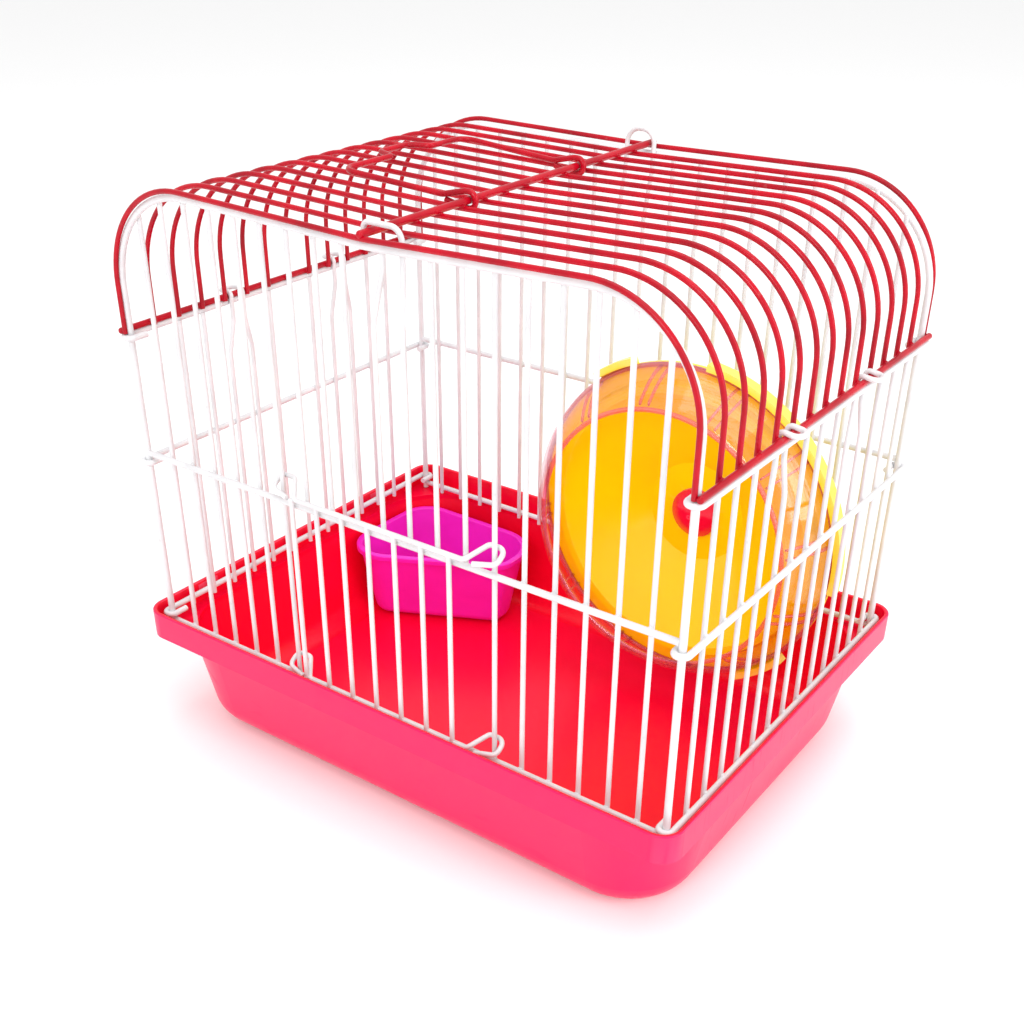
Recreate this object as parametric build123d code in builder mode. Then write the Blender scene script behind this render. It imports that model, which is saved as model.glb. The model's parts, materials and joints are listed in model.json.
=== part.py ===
"""Small hamster cage: welded wire panels and a bent-wire roof on a plastic tray, with a lifting
front door, a folding handle, a running wheel and a corner food bowl.

X runs along the long front side, Y from front to back, Z up. The origin is the middle of the tray's
underside, the face that the cage rests on. All sizes are in millimetres.
"""
import os

from build123d import *

# ---------------------------------------------------------------- driving dimensions
# Wires
BAR = 1.7  # upright bars, roof arches and hoops
RAIL = 2.2  # long horizontal wires of the panels and the roof
POST = 2.4  # corner posts, one wire with the arch over the top
CROSS = 2.4  # roof cross wire
GRIP = 1.9  # handle wire
WELD = 0.3  # how far two welded wires are pressed into each other
GAP = 0.3  # clearance between pieces that move past each other

# Cage
HALF_WIDTH = 110.0  # to the corner posts' centres
HALF_DEPTH = 78.0
PITCH = 11.0  # spacing of the front and back bars
SIDE_PITCH = 11.13  # spacing of the side bars and the roof arches
COLUMNS = 9  # bars each side of the middle one, front and back
SIDE_COLUMNS = 6
BOTTOM_RAIL_Z = 43.2  # front and back bottom rails
SIDE_BOTTOM_Z = 46.2  # side rails, hooked round the posts above them
MID_RAIL_Z = 112.5
SIDE_MID_Z = 109.4
SIDE_TOP_Z = 155.5
ARCH_MID_Z = 203.7  # middle of the white arch over each end panel
ARCH_BEND = 33.5
ROOF_MID_Z = 205.5  # middle of the red roof arches
ROOF_END_RISE = 0.6  # the first and last roof arch stand this much higher
ROOF_BEND = 34.5
ROOF_SAG = 0.023  # the wires fall this much for each millimetre towards the middle
SAG_CHANGE = 0.0001  # the sag eases by this for each millimetre towards the back
SAG_BEND = 120.0
ROOF_HALF_WIDTH = 110.3
ROOF_END_Y = HALF_DEPTH + (POST + BAR) / 2 - 0.1  # outside the end panels

# Bar ends and hairpin hoops
BAR_FOOT = 1.9  # how far the bars reach below their bottom rail's centre
HALF_BAR_FOOT = 0.5  # the same for the bars that stop at the front's mid rail
HOOP_BEND_Z = 181.0  # where the end hoops leave their two bars
HOOP_NECK_Z = 197.0  # where they have closed to a narrow loop
HOOP_SET = 0.7  # how far the loops stand in from the bars
HOOP_SWEEP = 12.0
EYE_BEND = 2.2
SIDE_HOOP_BEND_Z = 137.0
SIDE_HOOP_NECK_Z = 149.0
SIDE_HOOP_HALF = 2.9  # half the side loops' width
SIDE_HOOP_REACH = 4.4  # how far they fold out past the roof rail
RAIL_BEND = (POST + RAIL) / 2 - 0.15
STUB_Y = HALF_DEPTH - 5.0  # where the side rails' hooked ends stop

# Tray
RIM_LENGTH = 232.8
RIM_WIDTH = 172.4
RIM_CORNER = 8.0
RIM_TOP_Z = 49.1
RIM_BOTTOM_Z = 38.5
RIM_WALL = 1.6
RIM_EDGE_R = 0.5
TUB_LENGTH = 226.4  # outside, where the tub meets the rim
TUB_WIDTH = 166.0
TUB_CORNER = 31.0
TUB_WALL = 1.8
TUB_TAPER = 10.9  # degrees
TUB_FOOT_R = 12.5  # rounding all round the underside
TUB_FLOOR_R = 8.8  # the same inside
FLOOR = 2.0
SHELF_Z = 40.5  # the ledge that the corner posts stand on
LUG_PLACES_Y = (-55.0, 49.0)
LUG_LENGTH = 10.0
LUG_HEIGHT = 3.0
LUG_DEPTH = 0.35
LUG_DROP = 1.0  # below the rim's edge

# Handle
HANDLE_EYE_Y = 30.0
HANDLE_REACH = 50.0
HANDLE_SPREAD = 2.0  # how much wider the bail is than its eyes, each side
HANDLE_TAIL = 9.0

# Door
DOOR_BARS = 7
DOOR_CENTRE_X = -3.5
DOOR_Y = -HALF_DEPTH - RAIL / 2 - 0.5 - BAR / 2
DOOR_BOTTOM_Z = 45.4
DOOR_TOP_Z = 116.0
GUIDE_X = 4 * PITCH  # the two bars that the door's eyes ride on
DOOR_EYE_RISE = 4.2

# Wheel
WHEEL_X = 39.9
WHEEL_Z = 77.5
DRUM_FRONT_Y = 30.3
DRUM_BACK_Y = 50.0
DRUM_MOUTH_R = 49.9
DRUM_BACK_R = 63.0
DRUM_WALL = 1.6
DISC_R = 55.0
TAB_R = 66.0
HUB_R = 9.8
AXLE_R = 2.5
RUNNING_FIT = 0.05
DISC_FRONT_Y = 47.0
DISC_WALL = 1.6
DISH_R = 20.0
DISH_Y = 62.0  # front face of the disc's sunken middle
HUB_DOME = 6.2
HUB_HOLLOW = 2.8
BUSH_LENGTH = 4.0
BUSH_WALL = 2.4
AXLE_HEAD = 1.8
PLATE_LENGTH = 30.0  # wheel bracket, between the wheel and the back bars
PLATE_HEIGHT = 18.0
PLATE_THICK = 2.8
PLATE_CORNER = 3.0
BOSS_R = 6.0
NUT_LENGTH = 24.0
NUT_HEIGHT = 14.0
NUT_THICK = 2.6
SEATING = 0.05  # between the bars and the plates that clamp them
TAB_HOOK = 3.6  # how far the lock tabs reach forward over the drum's edge
TAB_ARCS = ((-8.0, 92.0), (112.0, 16.0), (-62.0, 20.0))  # start and sweep, degrees

# Bowl
BOWL_CORNERS = ((-108.0, 9.5), (-106.5, 71.5), (-39.5, 71.0), (-39.5, 43.5))
BOWL_CORNER_R = (14.0, 12.0, 18.0, 8.5)
BOWL_BOTTOM_Z = FLOOR + GAP
BOWL_RIM_Z = 36.0
BOWL_TAPER = 7.0  # how much smaller the foot is than the rim, all round
BOWL_WALL = 1.6
BOWL_FOOT_R = 5.0
BOWL_LIP = 1.0
BOWL_LIP_DEPTH = 2.2

BAR_Y = HALF_DEPTH - RAIL / 2 - BAR / 2 + WELD  # end panels' bars stand inside their rails
SIDE_RAIL_X = HALF_WIDTH + (POST + RAIL) / 2 - 0.1
SIDE_BAR_X = SIDE_RAIL_X - RAIL / 2 - BAR / 2 + WELD
ROOF_RAIL_X = ROOF_HALF_WIDTH + (BAR + RAIL) / 2 - 0.1
ROOF_RAIL_Z = SIDE_TOP_Z + RAIL - 0.1
CROSS_Z = ROOF_MID_Z + (BAR + CROSS) / 2 - 0.2

os.makedirs("parts", exist_ok=True)
pieces = []


def keep(builder, label):
    """Label a finished sub-part and write its STEP file."""
    builder.part.label = label
    export_step(builder.part, f"parts/{label}.step")
    pieces.append(builder.part)


def bent_wire(points, radii, diameter):
    """A round wire bent through the points, with the radius of each bend."""
    with BuildPart() as wire:
        with BuildLine() as path:
            FilletPolyline(*points, radius=radii)
        with BuildSketch(Plane(origin=path.line @ 0, z_dir=path.line % 0)):
            Circle(diameter / 2)
        sweep(path=path.line)
    return wire.part


def straight_wire(start, end, diameter):
    """A straight round wire from start to end."""
    direction = Vector(*end) - Vector(*start)
    with BuildPart() as wire:
        with BuildSketch(Plane(origin=start, z_dir=direction)):
            Circle(diameter / 2)
        extrude(amount=direction.length)
    return wire.part


def sag(y):
    """Slope of the arches' tops at a depth."""
    return ROOF_SAG - SAG_CHANGE * y


def arch_line(half_width, y, foot_z, middle_z):
    """Corners of an arch that sags a little towards its middle, foot to foot."""
    shoulder_z = middle_z + sag(y) * half_width
    return [
        (half_width, y, foot_z),
        (half_width, y, shoulder_z),
        (0.0, y, middle_z),
        (-half_width, y, shoulder_z),
        (-half_width, y, foot_z),
    ]


def arch_height(x, y):
    """Height of the white arch wire's centre at a place along it."""
    slope = sag(y)
    slant = (1 + slope**2) ** 0.5
    bend_x = HALF_WIDTH - ARCH_BEND
    into_bend = abs(x) - bend_x
    if into_bend < -ARCH_BEND * slope / slant:
        return ARCH_MID_Z + slope * abs(x)
    bend_z = ARCH_MID_Z + slope * bend_x - ARCH_BEND * slant
    return bend_z + (ARCH_BEND**2 - into_bend**2) ** 0.5


# ---------------------------------------------------------------- tray
def make_tray():
    """Tub with tapering walls, a ledge round its mouth and an upright rim band."""
    inner_length = RIM_LENGTH - 2 * RIM_WALL
    inner_width = RIM_WIDTH - 2 * RIM_WALL
    mouth_length = TUB_LENGTH - 2 * TUB_WALL
    mouth_width = TUB_WIDTH - 2 * TUB_WALL

    with BuildPart() as hollow:
        with BuildSketch(Plane.XY.offset(RIM_BOTTOM_Z)):
            RectangleRounded(mouth_length, mouth_width, TUB_CORNER - TUB_WALL)
        extrude(amount=FLOOR - RIM_BOTTOM_Z, taper=TUB_TAPER)
        fillet(hollow.faces().sort_by(Axis.Z)[0].edges(), radius=TUB_FLOOR_R)

    with BuildPart() as tray:
        with BuildSketch(Plane.XY.offset(RIM_BOTTOM_Z)):
            RectangleRounded(TUB_LENGTH, TUB_WIDTH, TUB_CORNER)
        extrude(amount=-RIM_BOTTOM_Z, taper=TUB_TAPER)
        fillet(tray.faces().sort_by(Axis.Z)[0].edges(), radius=TUB_FOOT_R)
        with BuildSketch(Plane.XY.offset(RIM_BOTTOM_Z)):
            RectangleRounded(RIM_LENGTH, RIM_WIDTH, RIM_CORNER)
        extrude(amount=RIM_TOP_Z - RIM_BOTTOM_Z)
        with BuildSketch(Plane.XY.offset(RIM_TOP_Z)):
            RectangleRounded(inner_length, inner_width, RIM_CORNER - RIM_WALL)
        extrude(amount=SHELF_Z - RIM_TOP_Z, mode=Mode.SUBTRACT)
        with BuildSketch(Plane.XY.offset(SHELF_Z)):
            RectangleRounded(mouth_length, mouth_width, TUB_CORNER - TUB_WALL)
        extrude(amount=RIM_BOTTOM_Z - SHELF_Z, mode=Mode.SUBTRACT)
        add(hollow.part, mode=Mode.SUBTRACT)
        fillet(tray.faces().sort_by(Axis.Z)[-1].edges(), radius=RIM_EDGE_R)
    return tray


keep(make_tray(), "tray")

# Snap lugs: low ribs inside the rim's short sides, beside the side panels' bottom rails.
with BuildPart() as tray_lugs:
    for side in (-1, 1):
        for lug_y in LUG_PLACES_Y:
            lug_x = side * (RIM_LENGTH / 2 - RIM_WALL - LUG_DEPTH / 2)
            with Locations((lug_x, lug_y, RIM_TOP_Z - LUG_DROP - LUG_HEIGHT / 2)):
                Box(LUG_DEPTH, LUG_LENGTH, LUG_HEIGHT)
keep(tray_lugs, "tray_lugs")


# ---------------------------------------------------------------- end panels
def end_hoop(side):
    """The pair of middle bars whose tops are one folded hairpin that holds the roof's cross wire."""
    bar_y = side * BAR_Y
    fold_y = side * (BAR_Y - HOOP_SET)
    eye = CROSS / 2 + BAR / 2 + 0.6
    under_z = CROSS_Z - eye - 0.3
    over_z = CROSS_Z + eye - 0.1
    if side < 0:
        foot_z = MID_RAIL_Z - HALF_BAR_FOOT
        points = [
            (0.0, bar_y, foot_z),
            (0.0, bar_y, HOOP_BEND_Z),
            (3.8, fold_y, HOOP_NECK_Z),
            (3.8, fold_y, under_z),
            (-eye, fold_y, under_z),
            (-eye, fold_y, over_z),
            (11.4, fold_y, over_z),
            (11.4, fold_y, HOOP_NECK_Z),
            (PITCH, bar_y, HOOP_BEND_Z),
            (PITCH, bar_y, foot_z),
        ]
        bends = (HOOP_SWEEP, HOOP_SWEEP, EYE_BEND, EYE_BEND, EYE_BEND, 4.0, HOOP_SWEEP, HOOP_SWEEP)
        return bent_wire(points, bends, BAR)
    foot_z = BOTTOM_RAIL_Z - BAR_FOOT
    top_y = fold_y + 0.8
    points = [
        (-PITCH, bar_y, foot_z),
        (-PITCH, bar_y, HOOP_BEND_Z),
        (-8.5, fold_y, HOOP_NECK_Z),
        (-8.5, top_y, over_z + 2.2),
        (eye, top_y, over_z + 2.2),
        (eye, fold_y, HOOP_NECK_Z),
        (0.0, bar_y, HOOP_BEND_Z),
        (0.0, bar_y, foot_z),
    ]
    return bent_wire(points, (HOOP_SWEEP, HOOP_SWEEP, 5.0, 5.0, HOOP_SWEEP, HOOP_SWEEP), BAR)


def make_end_panel(side, name, hoop_columns, half_bars):
    """Posts and arch, rails, bars and hoop of the front (side -1) or back (side 1) panel."""
    post_y = side * HALF_DEPTH
    bar_y = side * BAR_Y
    foot_z = SHELF_Z + GAP
    with BuildPart() as arch:
        line = arch_line(HALF_WIDTH, post_y, foot_z, ARCH_MID_Z)
        add(bent_wire(line, (ARCH_BEND, SAG_BEND, ARCH_BEND), POST))
    keep(arch, f"{name}_arch")

    rail_end_x = HALF_WIDTH - POST / 2 + WELD
    for rail_name, rail_z in (("bottom_rail", BOTTOM_RAIL_Z), ("mid_rail", MID_RAIL_Z)):
        with BuildPart() as rail:
            add(straight_wire((-rail_end_x, post_y, rail_z), (rail_end_x, post_y, rail_z), RAIL))
        keep(rail, f"{name}_{rail_name}")

    with BuildPart() as bars:
        for column in range(-COLUMNS, COLUMNS + 1):
            if column in hoop_columns:
                continue
            bar_x = column * PITCH
            top_z = arch_height(bar_x, post_y) + 0.7
            bottom_z = BOTTOM_RAIL_Z - BAR_FOOT
            if column in half_bars:
                bottom_z = MID_RAIL_Z - HALF_BAR_FOOT
            with BuildSketch(Plane.XY.offset(bottom_z)):
                with Locations((bar_x, bar_y)):
                    Circle(BAR / 2)
            extrude(amount=top_z - bottom_z)
    keep(bars, f"{name}_bars")

    with BuildPart() as hoop:
        add(end_hoop(side))
    keep(hoop, f"{name}_hoop")


make_end_panel(-1, "front", hoop_columns=(0, 1), half_bars=range(-3, 4))
make_end_panel(1, "back", hoop_columns=(-1, 0), half_bars=())


# ---------------------------------------------------------------- side panels
def side_hoop(side, middle_y):
    """Two bars joined by a hairpin that folds outward over the roof's rail."""
    foot_z = SIDE_BOTTOM_Z - BAR_FOOT
    inner_x = ROOF_RAIL_X - RAIL / 2 - BAR / 2 - 0.2
    over_z = ROOF_RAIL_Z + RAIL / 2 + BAR / 2 + 0.2
    half = [
        (SIDE_BAR_X, -SIDE_PITCH / 2, foot_z),
        (SIDE_BAR_X, -SIDE_PITCH / 2, SIDE_HOOP_BEND_Z),
        (inner_x, -SIDE_HOOP_HALF, SIDE_HOOP_NECK_Z),
        (inner_x, -SIDE_HOOP_HALF, over_z),
        (ROOF_RAIL_X + SIDE_HOOP_REACH, -SIDE_HOOP_HALF, over_z - 0.9),
    ]
    points = half + [(x, -y, z) for x, y, z in reversed(half)]
    placed = [(side * x, y + middle_y, z) for x, y, z in points]
    return bent_wire(placed, (10, 10, 1.6, 2.6, 2.6, 1.6, 10, 10), BAR)


def hooked_rail(side, rail_z):
    """A side rail whose ends hook round the corner posts and come back as short stubs."""
    hook_y = HALF_DEPTH + (POST + RAIL) / 2 - 0.1
    inner_x = HALF_WIDTH - (POST + RAIL) / 2 + 0.1
    points = [
        (inner_x, -STUB_Y, rail_z),
        (inner_x, -hook_y, rail_z),
        (SIDE_RAIL_X, -hook_y, rail_z),
        (SIDE_RAIL_X, hook_y, rail_z),
        (inner_x, hook_y, rail_z),
        (inner_x, STUB_Y, rail_z),
    ]
    placed = [(side * x, y, z) for x, y, z in points]
    return bent_wire(placed, RAIL_BEND, RAIL)


def make_side_panel(side, name):
    """Rails, bars and hoops of the left (side -1) or right (side 1) panel."""
    rail_heights = (
        ("bottom_rail", SIDE_BOTTOM_Z),
        ("mid_rail", SIDE_MID_Z),
        ("top_rail", SIDE_TOP_Z),
    )
    for rail_name, rail_z in rail_heights:
        with BuildPart() as rail:
            add(hooked_rail(side, rail_z))
        keep(rail, f"{name}_{rail_name}")

    bottom_z = SIDE_BOTTOM_Z - BAR_FOOT
    top_z = SIDE_TOP_Z - 0.2
    with BuildPart() as bars:
        with BuildSketch(Plane.XY.offset(bottom_z)):
            for column in range(-SIDE_COLUMNS, SIDE_COLUMNS + 1):
                if abs(column) in (2, 3):
                    continue
                with Locations((side * SIDE_BAR_X, column * SIDE_PITCH)):
                    Circle(BAR / 2)
        extrude(amount=top_z - bottom_z)
    keep(bars, f"{name}_bars")

    with BuildPart() as hoops:
        for middle in (-2.5, 2.5):
            add(side_hoop(side, middle * SIDE_PITCH))
    keep(hoops, f"{name}_hoops")


make_side_panel(-1, "left")
make_side_panel(1, "right")


# ---------------------------------------------------------------- roof
def roof_arch(arch_y, foot_z, middle_z):
    """One roof wire, bent down at both sides."""
    line = arch_line(ROOF_HALF_WIDTH, arch_y, foot_z, middle_z)
    return bent_wire(line, (ROOF_BEND, SAG_BEND, ROOF_BEND), BAR)


with BuildPart() as roof_arches:
    for column in range(-SIDE_COLUMNS, SIDE_COLUMNS + 1):
        add(roof_arch(column * SIDE_PITCH, SIDE_TOP_Z + RAIL / 2 + 0.2, ROOF_MID_Z))
keep(roof_arches, "roof_arches")

with BuildPart() as roof_end_arches:
    for end in (-1, 1):
        foot_z = SIDE_TOP_Z + RAIL / 2 + 0.4
        add(roof_arch(end * ROOF_END_Y, foot_z, ROOF_MID_Z + ROOF_END_RISE))
keep(roof_end_arches, "roof_end_arches")

for rail_side, side_name in ((-1, "left"), (1, "right")):
    with BuildPart() as roof_rail:
        end_y = ROOF_END_Y + 0.9
        rail_x = rail_side * ROOF_RAIL_X
        add(straight_wire((rail_x, -end_y, ROOF_RAIL_Z), (rail_x, end_y, ROOF_RAIL_Z), RAIL))
        fillet(roof_rail.edges(), radius=0.8)
    keep(roof_rail, f"roof_rail_{side_name}")

with BuildPart() as cross_wire:
    end_y = ROOF_END_Y + 1.2
    add(straight_wire((0, -end_y, CROSS_Z), (0, end_y, CROSS_Z), CROSS))
    fillet(cross_wire.edges(), radius=0.9)
keep(cross_wire, "cross_wire")


# ---------------------------------------------------------------- handle
EYE_R = CROSS / 2 + GAP + 0.05 + GRIP / 2
handle_top_z = CROSS_Z + EYE_R
handle_low_z = CROSS_Z - EYE_R
bail_z = handle_top_z + 0.6
dip_z = CROSS_Z + 0.5  # the arms dip between two roof arches just past the eyes


def handle_end(end):
    """Half of the handle's line: the tail, the eye round the cross wire and one arm of the bail."""
    eye_y = end * HANDLE_EYE_Y
    arm_y = end * (HANDLE_EYE_Y + HANDLE_SPREAD)
    return [
        (-HANDLE_TAIL, eye_y, handle_low_z + 1.5),
        (-2.5, eye_y, handle_low_z),
        (EYE_R, eye_y, handle_low_z),
        (EYE_R, eye_y, handle_top_z),
        (-1.5, eye_y, handle_top_z),
        (-10.0, end * (HANDLE_EYE_Y + 0.4), dip_z),
        (-HANDLE_REACH, arm_y, bail_z),
    ]


with BuildPart() as handle:
    finger_rest = [
        (-HANDLE_REACH, -7.0, bail_z),
        (-HANDLE_REACH - 8.0, -4.0, bail_z),
        (-HANDLE_REACH - 8.0, 11.0, bail_z),
        (-HANDLE_REACH, 14.0, bail_z),
    ]
    line = handle_end(-1) + finger_rest + handle_end(1)[::-1]
    eye_bends = (2.5, 2.4, 2.4, 2.5, 8.0)
    add(bent_wire(line, eye_bends + (5.0, 2.5, 2.5, 2.5, 2.5, 5.0) + eye_bends[::-1], GRIP))
keep(handle, "handle")


# ---------------------------------------------------------------- door
def door_rail(rail_z):
    """Door wire with an eye at each end, passing behind, beside and in front of its guide bar."""
    clear = BAR + 0.7
    behind_y = -BAR_Y + clear
    before_y = -BAR_Y - clear
    right = [
        (GUIDE_X - 8.8, DOOR_Y, rail_z),
        (GUIDE_X - 3.6, behind_y, rail_z + DOOR_EYE_RISE),
        (GUIDE_X + clear, behind_y, rail_z + DOOR_EYE_RISE),
        (GUIDE_X + clear, before_y, rail_z + 0.9),
        (GUIDE_X - 5.4, DOOR_Y, rail_z - 0.3),
    ]
    left = [(-x, y, z) for x, y, z in reversed(right)]
    radii = (2.5, 2.0, 2.6, 2.6)
    return bent_wire(left + right, radii[::-1] + radii, BAR)


for rail_name, rail_z in (("door_bottom_wire", DOOR_BOTTOM_Z), ("door_top_wire", DOOR_TOP_Z)):
    with BuildPart() as door_wire:
        add(door_rail(rail_z))
    keep(door_wire, rail_name)

with BuildPart() as door_bars:
    with BuildSketch(Plane.XY.offset(DOOR_BOTTOM_Z + BAR / 2 - WELD)):
        with Locations((DOOR_CENTRE_X, DOOR_Y)):
            with GridLocations(PITCH, 0, DOOR_BARS, 1):
                Circle(BAR / 2)
    extrude(amount=DOOR_TOP_Z - DOOR_BOTTOM_Z - BAR + 2 * WELD)
keep(door_bars, "door_bars")

# ---------------------------------------------------------------- wheel
WHEEL_PLANE = Plane(origin=(WHEEL_X, 0, WHEEL_Z), x_dir=(1, 0, 0), z_dir=(0, 0, 1))
WHEEL_AXIS = Axis((WHEEL_X, 0, WHEEL_Z), (0, 1, 0))

with BuildPart() as wheel_drum:
    with BuildSketch(WHEEL_PLANE):
        with BuildLine():
            front_edge = Line((DRUM_MOUTH_R, DRUM_FRONT_Y), (DRUM_MOUTH_R + 2.6, DRUM_FRONT_Y))
            outside = ThreePointArc(
                front_edge @ 1, (DRUM_MOUTH_R + 9.2, DRUM_FRONT_Y + 7.0), (DRUM_BACK_R, DRUM_BACK_Y)
            )
            back_edge = Line(outside @ 1, (DRUM_BACK_R - DRUM_WALL, DRUM_BACK_Y))
            ThreePointArc(
                back_edge @ 1,
                (DRUM_MOUTH_R + 7.8, DRUM_FRONT_Y + 8.0),
                (DRUM_MOUTH_R, DRUM_FRONT_Y + DRUM_WALL),
            )
            Line((DRUM_MOUTH_R, DRUM_FRONT_Y + DRUM_WALL), front_edge @ 0)
        make_face()
    revolve(axis=WHEEL_AXIS)
keep(wheel_drum, "wheel_drum")

with BuildPart() as wheel_back:
    with BuildSketch(WHEEL_PLANE):
        with BuildLine():
            Polyline(
                (AXLE_R + RUNNING_FIT, DISH_Y),
                (DISH_R, DISH_Y),
                (DISC_R - 3.0, DISC_FRONT_Y),
                (DISC_R, DISC_FRONT_Y),
                (DISC_R + 1.5, DRUM_BACK_Y),
                (DRUM_BACK_R, DRUM_BACK_Y),
                (DRUM_BACK_R, DRUM_BACK_Y + DISC_WALL),
                (DISC_R + 0.4, DRUM_BACK_Y + DISC_WALL),
                (DISC_R - 1.2, DISC_FRONT_Y + DISC_WALL),
                (DISC_R - 2.6, DISC_FRONT_Y + DISC_WALL),
                (DISH_R + 0.6, DISH_Y + DISC_WALL),
                (AXLE_R + BUSH_WALL, DISH_Y + DISC_WALL),
                (AXLE_R + BUSH_WALL, DISH_Y + BUSH_LENGTH),
                (AXLE_R + RUNNING_FIT, DISH_Y + BUSH_LENGTH),
                close=True,
            )
        make_face()
    revolve(axis=WHEEL_AXIS)
    # Lock tabs that hold the drum's rim: a long one over the top right and two short ones.
    for start_angle, sweep_angle in TAB_ARCS:
        with BuildSketch(WHEEL_PLANE.rotated((0, -start_angle, 0))):
            with BuildLine():
                Polyline(
                    (DRUM_BACK_R - 1.0, DRUM_BACK_Y),
                    (DRUM_BACK_R + 0.4, DRUM_BACK_Y),
                    (DRUM_BACK_R + 0.4, DRUM_BACK_Y - TAB_HOOK),
                    (TAB_R, DRUM_BACK_Y - TAB_HOOK),
                    (TAB_R, DRUM_BACK_Y + DISC_WALL),
                    (DRUM_BACK_R - 1.0, DRUM_BACK_Y + DISC_WALL),
                    close=True,
                )
            make_face()
        revolve(axis=WHEEL_AXIS, revolution_arc=-sweep_angle)
keep(wheel_back, "wheel_back")

with BuildPart() as hub_cap:
    hollow_r = AXLE_R + 1.3
    dome_y = DISH_Y - HUB_DOME
    with BuildSketch(WHEEL_PLANE):
        with BuildLine():
            Polyline(
                (0, dome_y),
                (0, DISH_Y - HUB_HOLLOW),
                (hollow_r, DISH_Y - HUB_HOLLOW),
                (hollow_r, DISH_Y),
                (HUB_R, DISH_Y),
                (HUB_R, DISH_Y - 1.6),
            )
            TangentArc((0, dome_y), (HUB_R, DISH_Y - 1.6), tangent=(1, 0))
        make_face()
    revolve(axis=WHEEL_AXIS)
keep(hub_cap, "hub_cap")

# The axle is fixed in the bracket and the wheel turns on it, held by the axle's head under the cap.
AXLE_END_Y = HALF_DEPTH + 4.6
PLATE_FRONT_Y = BAR_Y - BAR / 2 - SEATING - PLATE_THICK
BOSS_FRONT_Y = DISH_Y + BUSH_LENGTH + GAP


def xz_plane(y):
    """Upright plane at a depth, facing the back."""
    return Plane(origin=(WHEEL_X, y, WHEEL_Z), x_dir=(-1, 0, 0), z_dir=(0, 1, 0))


with BuildPart() as wheel_axle:
    with BuildSketch(xz_plane(DISH_Y - GAP - AXLE_HEAD)):
        Circle(AXLE_R + 1.0)
    extrude(amount=AXLE_HEAD)
    with BuildSketch(xz_plane(DISH_Y - GAP)):
        Circle(AXLE_R)
    extrude(amount=AXLE_END_Y - DISH_Y + GAP)
keep(wheel_axle, "wheel_axle")

with BuildPart() as wheel_bracket:
    with BuildSketch(xz_plane(PLATE_FRONT_Y)):
        RectangleRounded(PLATE_LENGTH, PLATE_HEIGHT, PLATE_CORNER)
        Circle(AXLE_R, mode=Mode.SUBTRACT)
    extrude(amount=PLATE_THICK)
    with BuildSketch(xz_plane(BOSS_FRONT_Y)):
        Circle(BOSS_R)
        Circle(AXLE_R, mode=Mode.SUBTRACT)
    extrude(amount=PLATE_FRONT_Y - BOSS_FRONT_Y)
keep(wheel_bracket, "wheel_bracket")

with BuildPart() as wheel_nut:
    with BuildSketch(xz_plane(BAR_Y + BAR / 2 + SEATING)):
        RectangleRounded(NUT_LENGTH, NUT_HEIGHT, PLATE_CORNER)
        Circle(AXLE_R, mode=Mode.SUBTRACT)
    extrude(amount=NUT_THICK)
keep(wheel_nut, "wheel_nut")


# ---------------------------------------------------------------- bowl
def bowl_outline(inset):
    """The bowl's four rounded sides, pulled in all round by inset."""
    with BuildSketch() as outline:
        with BuildLine():
            FilletPolyline(*BOWL_CORNERS, radius=BOWL_CORNER_R, close=True)
        make_face()
        offset(amount=-inset)
    return outline.sketch


with BuildPart() as bowl_hollow:
    with BuildSketch(Plane.XY.offset(BOWL_BOTTOM_Z + BOWL_WALL)):
        add(bowl_outline(BOWL_TAPER + BOWL_WALL - 0.3))
    with BuildSketch(Plane.XY.offset(BOWL_RIM_Z)):
        add(bowl_outline(BOWL_WALL))
    loft()
    fillet(bowl_hollow.faces().sort_by(Axis.Z)[0].edges(), radius=BOWL_FOOT_R - BOWL_WALL)

with BuildPart() as bowl:
    with BuildSketch(Plane.XY.offset(BOWL_BOTTOM_Z)):
        add(bowl_outline(BOWL_TAPER))
    with BuildSketch(Plane.XY.offset(BOWL_RIM_Z)):
        add(bowl_outline(0.01))
    loft()
    fillet(bowl.faces().sort_by(Axis.Z)[0].edges(), radius=BOWL_FOOT_R)
    with BuildSketch(Plane.XY.offset(BOWL_RIM_Z - BOWL_LIP_DEPTH)):
        add(bowl_outline(-BOWL_LIP))
    extrude(amount=BOWL_LIP_DEPTH)
    add(bowl_hollow.part, mode=Mode.SUBTRACT)
    fillet(bowl.faces().sort_by(Axis.Z)[-1].edges(), radius=0.6)
keep(bowl, "bowl")

print(f"{len(pieces)} sub-parts")
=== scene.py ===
"""Looks of the small hamster cage: coated wire, moulded plastic tray, bowl and running wheel."""

import json
import math

import bmesh
import bpy
import numpy as np
from mathutils import Matrix, Vector


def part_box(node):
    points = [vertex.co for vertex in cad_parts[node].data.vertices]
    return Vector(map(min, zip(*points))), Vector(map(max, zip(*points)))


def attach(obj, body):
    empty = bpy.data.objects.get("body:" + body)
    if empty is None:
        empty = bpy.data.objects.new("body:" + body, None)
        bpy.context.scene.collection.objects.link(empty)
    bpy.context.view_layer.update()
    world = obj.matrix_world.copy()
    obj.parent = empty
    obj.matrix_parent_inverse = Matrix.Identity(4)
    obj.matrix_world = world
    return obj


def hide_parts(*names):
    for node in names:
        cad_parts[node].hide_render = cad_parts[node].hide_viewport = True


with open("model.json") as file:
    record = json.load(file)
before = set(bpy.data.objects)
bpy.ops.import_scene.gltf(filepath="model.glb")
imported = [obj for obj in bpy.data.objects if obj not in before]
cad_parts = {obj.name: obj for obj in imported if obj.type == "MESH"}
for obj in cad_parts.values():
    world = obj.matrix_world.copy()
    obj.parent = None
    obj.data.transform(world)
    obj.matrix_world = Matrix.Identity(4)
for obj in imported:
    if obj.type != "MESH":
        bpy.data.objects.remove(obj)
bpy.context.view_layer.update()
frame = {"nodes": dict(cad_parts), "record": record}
nodes = frame["nodes"]

MM = 0.001


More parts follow.
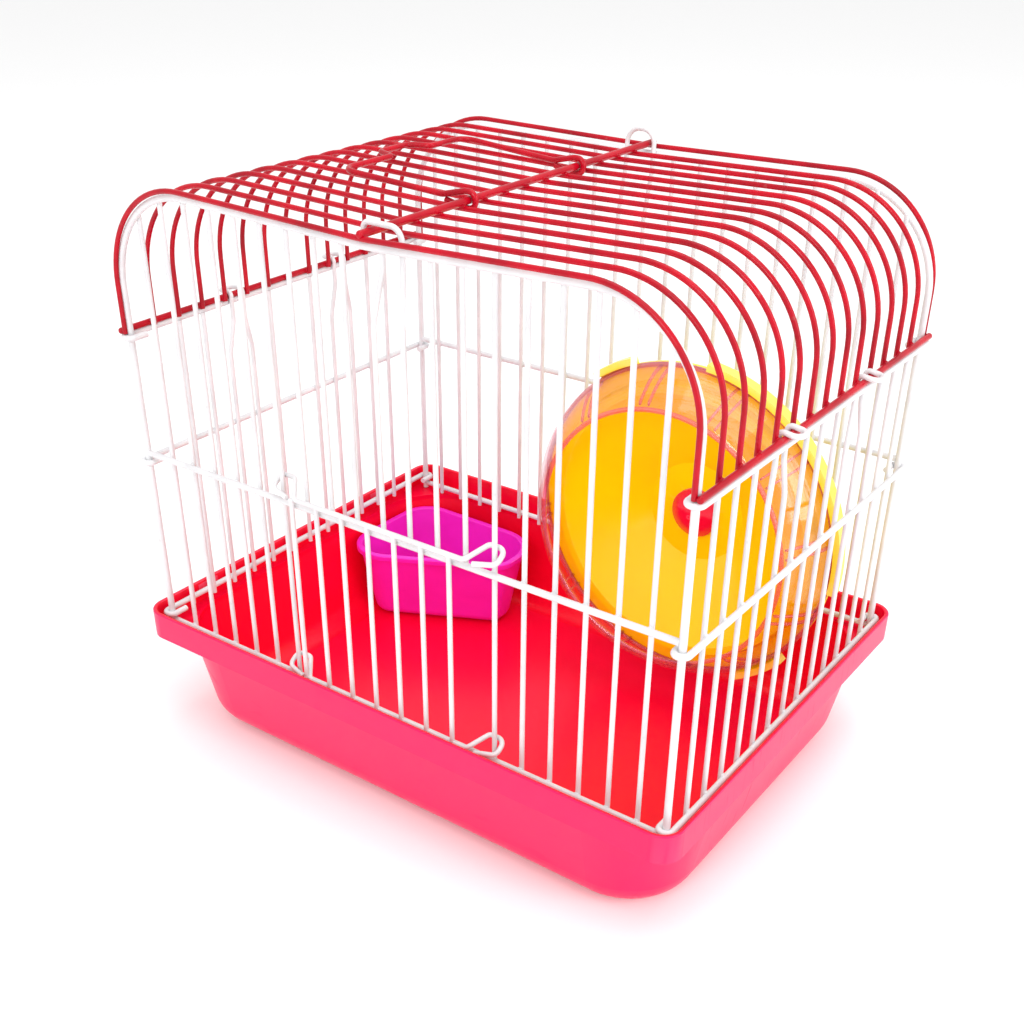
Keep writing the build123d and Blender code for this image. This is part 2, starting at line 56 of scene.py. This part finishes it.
# ---------------------------------------------------------------- colour and node helpers
def paint(hex_code, alpha=1.0):
    """An sRGB hex colour as the linear values that shaders take."""
    channels = [int(hex_code[i : i + 2], 16) / 255 for i in (1, 3, 5)]
    linear = [c / 12.92 if c <= 0.04045 else ((c + 0.055) / 1.055) ** 2.4 for c in channels]
    return (*linear, alpha)


def add(tree, kind, inputs=None, **settings):
    """A node with its settings. Each input is a value, or an output socket to link."""
    made = tree.nodes.new(kind)
    for name, value in settings.items():
        setattr(made, name, value)
    for name, value in (inputs or {}).items():
        if isinstance(value, bpy.types.NodeSocket):
            tree.links.new(value, made.inputs[name])
        else:
            made.inputs[name].default_value = value
    return made


def blank_material(name):
    """An empty material with its output node, and the mesh's own place in metres."""
    material = bpy.data.materials.new(name)
    material.use_nodes = True
    tree = material.node_tree
    tree.nodes.clear()
    output = add(tree, "ShaderNodeOutputMaterial")
    place = add(tree, "ShaderNodeTexCoord").outputs["Object"]
    return material, tree, output, place


def grain(tree, place, size_mm, detail=3.0, roughness=0.55, distortion=0.0):
    """Cloudy noise whose patches are about size_mm across."""
    return add(
        tree,
        "ShaderNodeTexNoise",
        {
            "Vector": place,
            "Scale": 1 / (size_mm * MM),
            "Detail": detail,
            "Roughness": roughness,
            "Distortion": distortion,
        },
    ).outputs["Fac"]


def between(tree, fac, low, high, start=0.0, end=1.0):
    """fac from start to end, turned into a value from low to high."""
    return add(
        tree,
        "ShaderNodeMapRange",
        {"Value": fac, "From Min": start, "From Max": end, "To Min": low, "To Max": high},
    ).outputs["Result"]


def tint(tree, fac, first, second):
    """A colour from first to second."""
    mixed = add(tree, "ShaderNodeMix", data_type="RGBA")
    for socket, value in ((mixed.inputs[0], fac), (mixed.inputs[6], first), (mixed.inputs[7], second)):
        if isinstance(value, bpy.types.NodeSocket):
            tree.links.new(value, socket)
        else:
            socket.default_value = value
    return mixed.outputs[2]


# ---------------------------------------------------------------- materials
def powder_coat(name, colour, thin_colour, peel_mm, gloss, sheen):
    """Steel wire under baked powder coat: a thick even skin with a faint orange peel, so that each
    wire carries one soft bright line, and a slightly different shade where the skin is thin."""
    material, tree, output, place = blank_material(name)
    cloud = grain(tree, place, 14.0)
    peel = grain(tree, place, peel_mm, detail=2.0)
    specks = add(
        tree, "ShaderNodeTexVoronoi", {"Vector": place, "Scale": 1 / (9.0 * MM)}, feature="F1"
    ).outputs["Distance"]
    # One speck of dull dust about every nine millimetres.
    dust = between(tree, specks, 1.0, 0.0, 0.05, 0.09)
    shade = tint(tree, between(tree, cloud, 0.0, 1.0, 0.35, 0.7), paint(colour), paint(thin_colour))
    shade = tint(tree, between(tree, dust, 0.0, 0.12), shade, paint("#8E8478"))
    bump = add(
        tree,
        "ShaderNodeBump",
        {"Strength": 0.35, "Distance": 0.06 * MM, "Height": peel},
    ).outputs["Normal"]
    shader = add(
        tree,
        "ShaderNodeBsdfPrincipled",
        {
            "Base Color": shade,
            "Roughness": between(tree, cloud, gloss, gloss + 0.12, 0.3, 0.75),
            "IOR": 1.5,
            "Specular IOR Level": sheen,
            "Coat Weight": 0.1,
            "Coat Roughness": 0.1,
            "Normal": bump,
        },
    )
    tree.links.new(shader.outputs[0], output.inputs["Surface"])
    return material


def moulded_plastic(
    name, colour, deep_colour, painted_sheen_colour, pale_edge, grain_mm, gloss, glow, flow=(60.0, 60.0, 25.0)
):
    """Injection-moulded polypropylene: fine grain from the mould's face, broad cloudy flow marks,
    a little light let into the wall, pale rubbed edges and fine scuffs. The faces that look outward
    are given a painted sheen: a paler, pinker colour than the inside, painted in for the hazy
    reflection they catch."""
    material, tree, output, place = blank_material(name)
    stretched = add(
        tree,
        "ShaderNodeMapping",
        {"Vector": place, "Scale": (60.0 / flow[0], 60.0 / flow[1], 60.0 / flow[2])},
    ).outputs["Vector"]
    clouds = grain(tree, stretched, 60.0, detail=4.0, distortion=0.6)
    skin = grain(tree, place, grain_mm, detail=2.0, roughness=0.4)
    scuff_lines = add(
        tree,
        "ShaderNodeMapping",
        {"Vector": place, "Rotation": (0.0, 0.0, 0.5), "Scale": (1.0, 14.0, 1.0)},
    ).outputs["Vector"]
    scuffs = between(tree, grain(tree, scuff_lines, 18.0, detail=5.0), 0.0, 1.0, 0.60, 0.72)
    # The level direction from the cage's middle, against which each face is compared.
    level = add(
        tree, "ShaderNodeVectorMath", {0: place, 1: (1.0, 1.0, 0.0)}, operation="MULTIPLY"
    ).outputs[0]
    outward = add(tree, "ShaderNodeVectorMath", {0: level}, operation="NORMALIZE").outputs[0]
    face = add(tree, "ShaderNodeTexCoord").outputs["Normal"]
    painted_sheen_facing = add(
        tree, "ShaderNodeVectorMath", {0: outward, 1: face}, operation="DOT_PRODUCT"
    ).outputs["Value"]
    edges = add(tree, "ShaderNodeNewGeometry").outputs["Pointiness"]
    rubbed = between(tree, edges, 0.0, 0.4, 0.54, 0.62)
    shade = tint(tree, between(tree, clouds, 0.0, 1.0, 0.3, 0.72), paint(colour), paint(deep_colour))
    # Painted sheen: faces turned outward from the cage's middle are painted paler and pinker, standing
    # in for reflected light.
    shade = tint(tree, between(tree, painted_sheen_facing, 0.0, 1.0, -0.05, 0.25), shade, paint(painted_sheen_colour))
    shade = tint(tree, rubbed, shade, paint(pale_edge))
    roughness = add(
        tree,
        "ShaderNodeMath",
        {0: between(tree, clouds, gloss, gloss + 0.1), 1: between(tree, scuffs, 0.0, 0.12)},
        operation="ADD",
    ).outputs[0]
    bump = add(
        tree, "ShaderNodeBump", {"Strength": 0.25, "Distance": 0.05 * MM, "Height": skin}
    ).outputs["Normal"]
    shader = add(
        tree,
        "ShaderNodeBsdfPrincipled",
        {
            "Base Color": shade,
            "Roughness": roughness,
            "IOR": 1.49,
            "Specular IOR Level": 0.35,
            "Subsurface Weight": glow,
            "Subsurface Radius": (1.0, 0.25, 0.2),
            "Subsurface Scale": 1.5 * MM,
            "Normal": bump,
        },
    )
    tree.links.new(shader.outputs[0], output.inputs["Surface"])
    return material


def spun_plastic(name, colour, deep_colour, pale_edge, centre, ring_mm, gloss):
    """Moulded ABS from a turned mould: glossy, with faint rings round the axle that break up the
    reflections, and a slightly deeper colour in broad patches."""
    material, tree, output, place = blank_material(name)
    centred = add(
        tree, "ShaderNodeMapping", {"Vector": place, "Location": tuple(-c for c in centre)}
    ).outputs["Vector"]
    rings = add(
        tree,
        "ShaderNodeTexWave",
        {
            "Vector": centred,
            "Scale": 1 / (ring_mm * MM) * 0.314,
            "Distortion": 0.4,
            "Detail": 1.0,
            "Detail Scale": 1.0,
        },
        wave_type="RINGS",
        rings_direction="Y",
    ).outputs["Fac"]
    clouds = grain(tree, place, 35.0, detail=3.0)
    skin = grain(tree, place, 0.7, detail=2.0)
    edges = add(tree, "ShaderNodeNewGeometry").outputs["Pointiness"]
    rubbed = between(tree, edges, 0.0, 0.5, 0.54, 0.62)
    shade = tint(tree, between(tree, clouds, 0.0, 1.0, 0.3, 0.75), paint(colour), paint(deep_colour))
    shade = tint(tree, rubbed, shade, paint(pale_edge))
    height = add(
        tree,
        "ShaderNodeMath",
        {0: between(tree, rings, 0.0, 0.5), 1: skin},
        operation="ADD",
    ).outputs[0]
    bump = add(
        tree, "ShaderNodeBump", {"Strength": 0.2, "Distance": 0.05 * MM, "Height": height}
    ).outputs["Normal"]
    shader = add(
        tree,
        "ShaderNodeBsdfPrincipled",
        {
            "Base Color": shade,
            "Roughness": between(tree, clouds, gloss, gloss + 0.1),
            "IOR": 1.53,
            "Specular IOR Level": 0.35,
            "Subsurface Weight": 0.08,
            "Subsurface Radius": (1.0, 0.9, 0.2),
            "Subsurface Scale": 1.5 * MM,
            "Coat Weight": 0.12,
            "Coat Roughness": 0.06,
            "Normal": bump,
        },
    )
    tree.links.new(shader.outputs[0], output.inputs["Surface"])
    return material


def clear_polystyrene(name, colour, body_colour, film):
    """Clear tinted polystyrene, moulded thin and polished: light passes straight through with a
    blush of pink, the face mirrors the room, most of all edge-on, and film is how much of the
    tint's own body shows when it is seen square."""
    material, tree, output, place = blank_material(name)
    clouds = grain(tree, place, 22.0, detail=3.0, distortion=0.8)
    ripples = grain(tree, place, 6.0, detail=2.0)
    bump = add(
        tree, "ShaderNodeBump", {"Strength": 0.3, "Distance": 0.25 * MM, "Height": ripples}
    ).outputs["Normal"]
    sheet = add(tree, "ShaderNodeBsdfTransparent", {"Color": paint(colour)}).outputs[0]
    body = add(
        tree,
        "ShaderNodeBsdfPrincipled",
        {
            "Base Color": tint(tree, clouds, paint(body_colour), paint(colour)),
            "Roughness": between(tree, clouds, 0.1, 0.2),
            "IOR": 1.59,
            "Normal": bump,
        },
    ).outputs[0]
    edge_on = add(tree, "ShaderNodeLayerWeight", {"Blend": 0.5, "Normal": bump}).outputs["Facing"]
    share = add(
        tree,
        "ShaderNodeMath",
        {0: between(tree, edge_on, film, film + 0.3, 0.6, 1.0), 1: between(tree, clouds, -0.02, 0.03)},
        operation="ADD",
    ).outputs[0]
    tinted = add(tree, "ShaderNodeMixShader", {0: share, 1: sheet, 2: body}).outputs[0]
    # The polished face mirrors about a twentieth of the light seen square, and half of it edge-on.
    mirror = add(tree, "ShaderNodeBsdfAnisotropic", {"Roughness": 0.05, "Normal": bump}).outputs[0]
    climb = add(tree, "ShaderNodeMath", {0: edge_on, 1: 5.0}, operation="POWER").outputs[0]
    mixed = add(
        tree, "ShaderNodeMixShader", {0: between(tree, climb, 0.05, 0.5), 1: tinted, 2: mirror}
    )
    tree.links.new(mixed.outputs[0], output.inputs["Surface"])
    return material


drum_low, drum_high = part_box("wheel_drum")
wheel_middle = Vector(((drum_low.x + drum_high.x) / 2, drum_high.y, (drum_low.z + drum_high.z) / 2))

white_coat = powder_coat("white_powder_coat", "#DFDFE1", "#D2D1D3", 0.9, 0.3, 0.5)
red_coat = powder_coat("red_powder_coat", "#BE0420", "#960218", 0.9, 0.24, 0.2)
tray_plastic = moulded_plastic(
    "red_polypropylene_tray", "#FA0232", "#F0002A", "#EE0A58", "#FF6E92", 0.6, 0.27, 0.1
)
bowl_plastic = moulded_plastic(
    "magenta_polypropylene_bowl",
    "#F024C8",
    "#E61CBC",
    "#F228CA",
    "#FF84DC",
    0.5,
    0.3,
    0.1,
    (30.0, 30.0, 14.0),
)
disc_plastic = spun_plastic(
    "yellow_abs_disc", "#FFE800", "#FFE000", "#FFF08A", wheel_middle, 1.4, 0.16
)
hub_plastic = spun_plastic(
    "red_abs_hub_cap", "#F0103C", "#E00A32", "#FF8AA0", wheel_middle, 0.8, 0.14
)
clear_pink = clear_polystyrene("clear_pink_polystyrene", "#FFF4F6", "#FF7AB4", 0.0)
clear_pink_rib = clear_polystyrene("clear_pink_polystyrene_ribs", "#FFD8E6", "#FF5CA6", 0.14)


def dress(node_name, material):
    """Give a CAD node its finish."""
    mesh = nodes[node_name].data
    mesh.materials.clear()
    mesh.materials.append(material)
    for polygon in mesh.polygons:
        polygon.material_index = 0


slot_finish = {
    "white_wire": white_coat,
    "red_wire": red_coat,
    "tray_plastic": tray_plastic,
    "bowl_plastic": bowl_plastic,
    "clear_pink": clear_pink,
    "yellow_plastic": disc_plastic,
    "hub_plastic": hub_plastic,
    "axle_plastic": hub_plastic,
}
for subpart in frame["record"]["subparts"]:
    dress(subpart["node"], slot_finish[subpart["material_slot"]])


# ---------------------------------------------------------------- mesh helpers
def new_piece(name, mesh_builder, material, body):
    """A smooth-shaded mesh from a bmesh, riding on a body."""
    mesh = bpy.data.meshes.new(name)
    mesh_builder.to_mesh(mesh)
    mesh_builder.free()
    for polygon in mesh.polygons:
        polygon.use_smooth = True
    mesh.materials.append(material)
    piece = bpy.data.objects.new(name, mesh)
    bpy.context.scene.collection.objects.link(piece)
    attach(piece, body)
    return piece


def along(node_name, axis):
    """Middles of a node's separate wires along one axis, in order, with their lowest z."""
    corners = np.array([v.co for v in nodes[node_name].data.vertices], float).reshape(-1, 3)
    order = np.argsort(corners[:, axis])
    corners = corners[order]
    breaks = np.nonzero(np.diff(corners[:, axis]) > 2.0 * MM)[0] + 1
    groups = np.split(corners, breaks)
    return [((g[:, axis].min() + g[:, axis].max()) / 2, g[:, 2].min(), g[:, 2].max()) for g in groups]


def bead(builder, centre, radii):
    """A smooth blob of coating at a weld."""
    placed = Matrix.Translation(centre) @ Matrix.Diagonal((*radii, 1.0))
    bmesh.ops.create_uvsphere(builder, u_segments=12, v_segments=8, radius=1.0, matrix=placed)


def middle(node_name):
    """Middle of a node's box."""
    low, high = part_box(node_name)
    return (low + high) / 2


# ---------------------------------------------------------------- welds
# Where two coated wires cross, the coating fills the corner and leaves a small rounded swelling.
# Its half sizes are given along X, Y and Z.
END_PANEL_BEAD = (1.12 * MM, 0.8 * MM, 1.3 * MM)
SIDE_PANEL_BEAD = (0.8 * MM, 1.12 * MM, 1.3 * MM)
ROOF_TOP_BEAD = (1.25 * MM, 1.05 * MM, 0.7 * MM)
ROOF_RAIL_BEAD = (0.8 * MM, 1.1 * MM, 1.3 * MM)
DOOR_BEAD = (1.08 * MM, 0.98 * MM, 0.8 * MM)
SIDE_RAIL_HALF = 1.1 * MM
ROOF_RAIL_INSET = 1.0 * MM
BAR_TIP = 1.0 * MM  # a bar that stops this close under a rail is still welded to it
for panel in ("front", "back"):
    welds = bmesh.new()
    bars_y = middle(f"{panel}_bars").y
    for rail in ("bottom_rail", "mid_rail"):
        rail_at = middle(f"{panel}_{rail}")
        weld_y = (bars_y + rail_at.y) / 2
        for bar_x, low_z, high_z in along(f"{panel}_bars", 0):
            if low_z < rail_at.z < high_z:
                bead(welds, (bar_x, weld_y, rail_at.z), END_PANEL_BEAD)
    new_piece(f"{panel}_weld_beads", welds, white_coat, "cage")

for panel in ("left", "right"):
    welds = bmesh.new()
    bars_x = middle(f"{panel}_bars").x
    outward = 1 if panel == "right" else -1
    for rail in ("bottom_rail", "mid_rail", "top_rail"):
        rail_low, rail_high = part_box(f"{panel}_{rail}")
        rail_x = (rail_high.x if outward > 0 else rail_low.x) - outward * SIDE_RAIL_HALF
        rail_z = (rail_low.z + rail_high.z) / 2
        for bar_y, low_z, high_z in along(f"{panel}_bars", 1):
            if low_z < rail_z < high_z + BAR_TIP:
                centre = ((bars_x + rail_x) / 2, bar_y, rail_z)
                bead(welds, centre, SIDE_PANEL_BEAD)
    new_piece(f"{panel}_weld_beads", welds, white_coat, "cage")

roof_welds = bmesh.new()
cross_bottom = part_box("cross_wire")[0].z
for arch_y, _, _ in along("roof_arches", 1):
    bead(roof_welds, (0.0, arch_y, cross_bottom + 0.15 * MM), ROOF_TOP_BEAD)
    for side in ("left", "right"):
        rail_at = middle(f"roof_rail_{side}")
        inward = -1 if side == "right" else 1
        weld_x = rail_at.x + inward * ROOF_RAIL_INSET
        bead(roof_welds, (weld_x, arch_y, rail_at.z), ROOF_RAIL_BEAD)
new_piece("roof_weld_beads", roof_welds, red_coat, "cage")

door_welds = bmesh.new()
for door_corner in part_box("door_bars"):
    for bar_x, _, _ in along("door_bars", 0):
        bead(door_welds, (bar_x, middle("door_bars").y, door_corner.z), DOOR_BEAD)
new_piece("door_weld_beads", door_welds, white_coat, "door")


# ---------------------------------------------------------------- running wheel drum
RIBS = 12
RIB_START = 0.35  # of one rib's share of the turn
RIB_APART = 4.4 * MM
RIB_WIDTH = 0.9 * MM
RIB_RISE = 1.0 * MM
WALL = 1.2 * MM
MOUTH_R = 49.9 * MM
MOUTH_EDGE = 2.6 * MM  # width of the flat edge round the mouth
MOUTH_BEAD_R = 0.9 * MM
BACK_R = 63.0 * MM
DRUM_FRONT = 30.3 * MM
DRUM_BACK = 50.0 * MM
FLARE_FROM = math.radians(18)  # the wall's curve is this stretch of a sine wave
FLARE_TO = math.radians(84)
BAND_THICK = 1.55 * MM
BAND_WIDTH = 1.15 * MM
HAIR = 0.05 * MM  # keeps the added trim just inside the drum's own faces


def drum_profile(steps, inset):
    """Points (radius, y) along the drum's flared wall, from the mouth to the back edge."""
    start_r = MOUTH_R + MOUTH_EDGE
    points = []
    for i in range(steps + 1):
        t = i / steps
        angle = FLARE_FROM + (FLARE_TO - FLARE_FROM) * t
        swell = (math.sin(angle) - math.sin(FLARE_FROM)) / (math.sin(FLARE_TO) - math.sin(FLARE_FROM))
        radius = start_r + (BACK_R - start_r) * swell
        points.append((radius - inset, DRUM_FRONT + (DRUM_BACK - DRUM_FRONT) * t))
    return points


def ring_point(radius, y, turn):
    """A point on the wheel at a radius, a depth and a turn round the axle."""
    return (
        wheel_middle.x + radius * math.cos(turn),
        y,
        wheel_middle.z + radius * math.sin(turn),
    )


def spun(builder, loop, segments, start=0.0, sweep=2 * math.pi):
    """Turn a closed loop of (radius, y) points round the axle, all the way or part of it."""
    whole = abs(sweep - 2 * math.pi) < 1e-6
    stops = segments if whole else segments + 1
    rows = [
        [builder.verts.new(ring_point(r, y, start + sweep * k / segments)) for r, y in loop]
        for k in range(stops)
    ]
    count = len(loop)
    for k in range(segments):
        here, following = rows[k], rows[(k + 1) % stops]
        for i in range(count):
            j = (i + 1) % count
            builder.faces.new((here[i], here[j], following[j], following[i]))
    if not whole:
        builder.faces.new(rows[0][::-1])
        builder.faces.new(rows[-1])
    bmesh.ops.recalc_face_normals(builder, faces=builder.faces)


drum = bmesh.new()
outer = drum_profile(14, 0.0)
inner = drum_profile(14, WALL)[::-1]
lip = [(MOUTH_R, DRUM_FRONT + 0.5 * MM), (MOUTH_R + 0.5 * MM, DRUM_FRONT)]
spun(drum, outer + inner + [(MOUTH_R, DRUM_FRONT + WALL)] + lip, 160)
drum_shell = new_piece("wheel_drum_shell", drum, clear_pink, "wheel")
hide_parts("wheel_drum")

# Running ribs: a pair of thin raised lines across the inside of the drum at every thirty degrees.
ribs = bmesh.new()
rib_outside = drum_profile(10, WALL * 0.9)[1:]
rib_inside = drum_profile(10, WALL + RIB_RISE)[1:][::-1]
rib_sweep = RIB_WIDTH / BACK_R
for rib in range(RIBS):
    turn = 2 * math.pi * (rib + RIB_START) / RIBS
    for offset in (-RIB_APART / 2, RIB_APART / 2):
        start = turn + offset / BACK_R - rib_sweep / 2
        spun(ribs, rib_outside + rib_inside, 2, start, rib_sweep)
# The bead round the mouth and the band where the drum snaps to the disc, where the tint is deepest.
mouth_bead = [
    (
        MOUTH_R + 2 * HAIR + MOUTH_BEAD_R * (1 + math.cos(a)),
        DRUM_FRONT + HAIR + MOUTH_BEAD_R * (1 + math.sin(a)),
    )
    for a in np.linspace(0, 2 * math.pi, 10, endpoint=False)
]
spun(ribs, mouth_bead, 160)
band_r = BACK_R - HAIR
band_y = DRUM_BACK - HAIR
band = [
    (band_r - BAND_THICK, band_y),
    (band_r, band_y),
    (band_r, band_y - BAND_WIDTH),
    (band_r - BAND_THICK, band_y - BAND_WIDTH),
]
spun(ribs, band, 160)
new_piece("wheel_drum_ribs", ribs, clear_pink_rib, "wheel")


# ---------------------------------------------------------------- floor, light and camera
def studio_paper():
    """Matt white paper sweep with a barely visible tooth."""
    material, tree, output, place = blank_material("white_studio_paper")
    tooth = grain(tree, place, 3.0)
    bump = add(tree, "ShaderNodeBump", {"Strength": 0.1, "Distance": 0.1 * MM, "Height": tooth})
    shader = add(
        tree,
        "ShaderNodeBsdfPrincipled",
        {
            "Base Color": tint(tree, tooth, paint("#FAFAFA"), paint("#FCFCFC")),
            "Roughness": 0.9,
            "IOR": 1.45,
            "Specular IOR Level": 0.2,
            "Normal": bump.outputs["Normal"],
        },
    )
    tree.links.new(shader.outputs[0], output.inputs["Surface"])
    return material


FLOOR_HALF = 4.0
FLOOR_DROP = 0.0003  # keeps the floor just under the tray

floor_builder = bmesh.new()
bmesh.ops.create_grid(floor_builder, x_segments=24, y_segments=24, size=FLOOR_HALF)
floor_mesh = bpy.data.meshes.new("studio_floor")
floor_builder.to_mesh(floor_mesh)
floor_builder.free()
floor_mesh.materials.append(studio_paper())
floor = bpy.data.objects.new("studio_floor", floor_mesh)
floor.location.z = -FLOOR_DROP
bpy.context.scene.collection.objects.link(floor)


def softbox(name, place, target, size, power, colour="#FFFFFF"):
    """A square soft light at a place, aimed at a target."""
    lamp = bpy.data.lights.new(name, "AREA")
    lamp.shape = "RECTANGLE"
    lamp.size, lamp.size_y = size
    lamp.energy = power
    lamp.color = paint(colour)[:3]
    holder = bpy.data.objects.new(name, lamp)
    holder.location = place
    holder.rotation_mode = "QUATERNION"
    holder.rotation_quaternion = (Vector(target) - Vector(place)).to_track_quat("-Z", "Y")
    bpy.context.scene.collection.objects.link(holder)


cage_middle = (0.0, 0.0, 0.1)
softbox("overhead_softbox", (0.1, 0.0, 1.3), cage_middle, (1.2, 1.0), 6.5)
softbox("right_softbox", (1.2, 0.0, 0.6), cage_middle, (0.6, 0.8), 6.0)
softbox("front_softbox", (0.25, -1.2, 0.75), cage_middle, (0.5, 0.4), 5.2)

world = bpy.data.worlds.new("white_room")
world.use_nodes = True
world.node_tree.nodes["Background"].inputs["Color"].default_value = (1.0, 1.0, 1.0, 1.0)
world.node_tree.nodes["Background"].inputs["Strength"].default_value = 0.95
bpy.context.scene.world = world
bpy.context.scene.view_settings.view_transform = "Standard"
bpy.context.scene.view_settings.look = "None"

lens = bpy.data.cameras.new("camera")
lens.lens = 45.81
lens.sensor_width = 36.0
lens.shift_x = 0.0136
lens.shift_y = 0.1354
lens.clip_start = 0.01
camera = bpy.data.objects.new("camera", lens)
camera.location = (0.24947, -0.35529, 0.30265)
camera.rotation_euler = (math.radians(57.837), math.radians(-0.128), math.radians(36.279))
bpy.context.scene.collection.objects.link(camera)
bpy.context.scene.camera = camera
